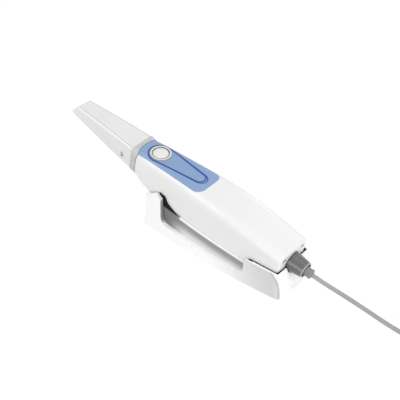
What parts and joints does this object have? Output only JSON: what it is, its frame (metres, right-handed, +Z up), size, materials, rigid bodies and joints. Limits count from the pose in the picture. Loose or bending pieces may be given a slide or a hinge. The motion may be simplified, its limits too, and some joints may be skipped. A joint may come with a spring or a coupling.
{
  "type": "intraoral scanner",
  "caption": "Handheld dental scanner with a tapered mirror tip, button inlay and cable, resting in an open desk cradle",
  "frame": {"origin": "on the surface that the cradle stands on, under the middle of the length from tip to cable bush", "axes": "+X along the handpiece towards its cable, +Y to the handpiece's left seen from the cable, +Z up"},
  "size_m": [0.45, 0.105, 0.0833],
  "materials": {
    "tip_plastic": "satin moulded, autoclavable",
    "mirror_glass": "front-silvered",
    "latch_grey": "moulded",
    "nose_black": "matt, light-absorbing",
    "clear_glass": "clear, coated",
    "collar_grey": "satin",
    "shell_white": "soft gloss",
    "inlay_blue": "satin gloss",
    "bezel_grey": "satin",
    "button_white": "high gloss",
    "switch_black": "moulded",
    "board_green": "solder resist",
    "screw_steel": "plain",
    "chassis_aluminium": "machined",
    "optics_black": "matt",
    "relief_rubber": "matt",
    "bush_grey": "satin",
    "cord_grey": "smooth jacket",
    "tie_fabric": "hook and loop",
    "plug_grey": "overmoulded",
    "plug_steel": "nickel plated",
    "cradle_white": "soft gloss",
    "liner_rubber": "matt"
  },
  "bodies": {
    "root": {"tip_latches": "latch_grey", "nose_tube": "nose_black", "nose_glass": "clear_glass", "collar": "collar_grey", "upper_shell": "shell_white", "lower_shell": "shell_white", "inlay_panel": "inlay_blue", "button_bezel": "bezel_grey", "tact_switch": "switch_black", "button_board": "board_green", "shell_screws": "screw_steel", "optics_chassis": "chassis_aluminium", "camera_left": "optics_black", "camera_right": "optics_black", "projector_module": "optics_black", "heat_sink": "chassis_aluminium", "main_board": "board_green", "strain_relief": "relief_rubber", "cable_bush": "bush_grey", "cord": "cord_grey", "cord_coil": "cord_grey", "cord_tie": "tie_fabric", "plug_body": "plug_grey", "plug_shell": "plug_steel", "cradle": "cradle_white", "cradle_tray": "cradle_white", "front_liner": "liner_rubber", "rear_liner": "liner_rubber", "foot_pads": "liner_rubber"},
    "tip": {"tip_sleeve": "tip_plastic", "tip_mirror": "mirror_glass"},
    "button": {"button_cap": "button_white", "switch_plunger": "switch_black"}
  },
  "joints": [
    {"name": "tip_pull", "type": "slide", "parent": "root", "child": "tip", "axis": [-0.9848, 0, 0.1736], "range_m": [0, 0.05]},
    {"name": "button_press", "type": "slide", "parent": "root", "child": "button", "axis": [-0.0931, 0, -0.9957], "range_m": [0, 0.0008], "stiffness_N_per_m": 1500, "springref_m": -0.0008}
  ]
}
